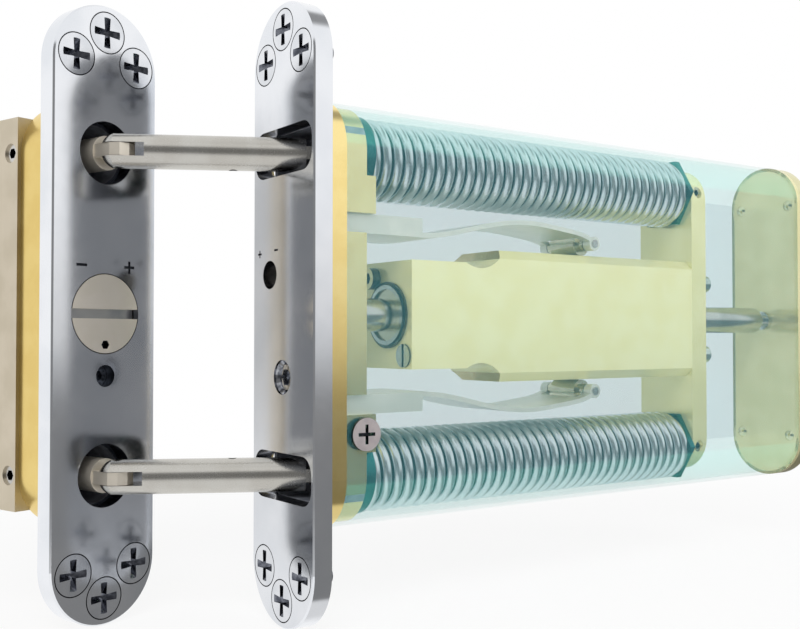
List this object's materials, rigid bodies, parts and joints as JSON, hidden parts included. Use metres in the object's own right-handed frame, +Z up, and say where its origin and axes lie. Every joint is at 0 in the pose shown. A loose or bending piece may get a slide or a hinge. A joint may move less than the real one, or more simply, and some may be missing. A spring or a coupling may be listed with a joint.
{
  "type": "concealed door closer",
  "caption": "Concealed door closer: chrome door and jamb plates joined by jointed arms, with springs, damper cylinder and leaf springs inside a clear casing.",
  "frame": {"origin": "centre of the front face of the door plate, level with the middle of the plate", "axes": "+X from the plate into the door along the piston rod, +Z up along the plate, +Y towards the side the arms swing to"},
  "size_m": [0.267, 0.0854, 0.16],
  "materials": {
    "plate_chrome": "polished, soft reflections",
    "screw_chrome": "polished",
    "fixing_steel": "bright zinc",
    "block_brass": "satin gold",
    "casing_clear": "clear pale cyan shell",
    "cap_brass": "satin gold",
    "end_plate_metal": "polished",
    "rivet_metal": "satin",
    "rod_steel": "ground and polished",
    "piston_steel": "ground",
    "seal_rubber": "matt",
    "spring_steel": "oiled spring wire",
    "seat_steel": "dark plated",
    "leaf_steel": "satin",
    "roller_steel": "ground",
    "cylinder_cast": "satin cream gold",
    "crosshead_cast": "satin cream gold",
    "gland_steel": "turned",
    "arm_nickel": "warm satin nickel",
    "pin_steel": "ground",
    "adjuster_nickel": "turned satin nickel",
    "spacer_brass": "satin gold",
    "anchor_metal": "champagne satin",
    "grub_dark": "black oxide"
  },
  "bodies": {
    "door_unit": {"door_face_plate": "plate_chrome", "door_plate_screws": "screw_chrome", "centre_fixing_screw": "fixing_steel", "front_block": "block_brass", "front_spring_seats": "seat_steel", "casing": "casing_clear", "casing_screws": "screw_chrome", "end_plate": "end_plate_metal", "end_cap": "cap_brass", "end_rivets": "rivet_metal", "piston_rod": "rod_steel", "rod_collar": "rod_steel", "piston": "piston_steel", "piston_seal": "seal_rubber", "upper_leaf_spring": "leaf_steel", "lower_leaf_spring": "leaf_steel", "roller_pins": "pin_steel", "upper_front_spring": "spring_steel", "upper_rear_spring": "spring_steel", "lower_front_spring": "spring_steel", "lower_rear_spring": "spring_steel"},
    "carriage": {"cylinder_block": "cylinder_cast", "front_gland_ring": "gland_steel", "front_gland_washer": "gland_steel", "front_plug": "gland_steel", "crosshead": "crosshead_cast", "crosshead_grub_screws": "grub_dark", "crosshead_screws": "gland_steel", "rear_gland_ring": "gland_steel", "rear_spring_seats": "seat_steel", "upper_tie_rod": "rod_steel", "lower_tie_rod": "rod_steel", "inner_pivot_pins": "pin_steel"},
    "speed_valve": {"speed_valve": "gland_steel"},
    "upper_arm": {"upper_arm": "arm_nickel", "upper_fork_pin": "pin_steel"},
    "lower_arm": {"lower_arm": "arm_nickel", "lower_fork_pin": "pin_steel"},
    "anchor": {"anchor_body": "anchor_metal", "anchor_grub_screws": "grub_dark", "upper_link": "arm_nickel", "lower_link": "arm_nickel"},
    "jamb_unit": {"jamb_face_plate": "plate_chrome", "jamb_plate_screws": "screw_chrome", "jamb_spacer": "spacer_brass", "adjuster_lock_screw": "grub_dark"},
    "latching_adjuster": {"latching_adjuster": "adjuster_nickel", "adjuster_grub_screw": "grub_dark"},
    "upper_roller": {"upper_roller": "roller_steel"},
    "lower_roller": {"lower_roller": "roller_steel"}
  },
  "joints": [
    {"name": "carriage_slide", "type": "slide", "parent": "door_unit", "child": "carriage", "axis": [1, 0, 0], "range_m": [-0.008, 0.0423], "stiffness_N_per_m": 5000, "springref_m": 0.12, "deforming": ["upper_front_spring", "upper_rear_spring", "lower_front_spring", "lower_rear_spring"]},
    {"name": "upper_arm_pivot", "type": "hinge", "parent": "carriage", "child": "upper_arm", "pos_m": [0.012, 0, 0.0417], "axis": [0, 0, 1], "range_deg": [-5.28, 27.49]},
    {"name": "lower_arm_pivot", "type": "hinge", "parent": "carriage", "child": "lower_arm", "pos_m": [0.012, 0, -0.0417], "axis": [0, 0, 1], "range_deg": [-5.28, 27.49]},
    {"name": "anchor_pivot", "type": "hinge", "parent": "upper_arm", "child": "anchor", "pos_m": [-0.0344, 0.0241, 0.0417], "axis": [0, 0, 1], "range_deg": [-8.55, 44.76]},
    {"name": "jamb_slide", "type": "slide", "parent": "anchor", "child": "jamb_unit", "axis": [0.3057, -0.9521, 0], "range_m": [0, 0.002]},
    {"name": "latching_adjuster_turn", "type": "hinge", "parent": "jamb_unit", "child": "latching_adjuster", "pos_m": [-0.03593, 0.02886, 0], "axis": [0.3057, -0.9521, 0], "range_deg": [0, 180]},
    {"name": "speed_valve_turn", "type": "hinge", "parent": "carriage", "child": "speed_valve", "pos_m": [0.0329, 0.0068, 0.0102], "axis": [1, 0, 0], "range_deg": [-180, 180]},
    {"name": "upper_roller_spin", "type": "hinge", "parent": "door_unit", "child": "upper_roller", "pos_m": [0.101, 0, 0.0223], "axis": [0, 1, 0], "range_deg": [-734.9, 139.4]},
    {"name": "lower_roller_spin", "type": "hinge", "parent": "door_unit", "child": "lower_roller", "pos_m": [0.101, 0, -0.0223], "axis": [0, 1, 0], "range_deg": [-139.4, 734.9]}
  ],
  "couplings": [
    {"joint": "upper_arm_pivot", "follows": "carriage_slide", "rad_per_m": 11.302},
    {"joint": "lower_arm_pivot", "follows": "carriage_slide", "rad_per_m": 11.302},
    {"joint": "anchor_pivot", "follows": "carriage_slide", "rad_per_m": 18.428},
    {"joint": "upper_roller_spin", "follows": "carriage_slide", "rad_per_m": -303.03},
    {"joint": "lower_roller_spin", "follows": "carriage_slide", "rad_per_m": 303.03},
    {"joint": "latching_adjuster_turn", "follows": "jamb_slide", "rad_per_m": 1562}
  ]
}
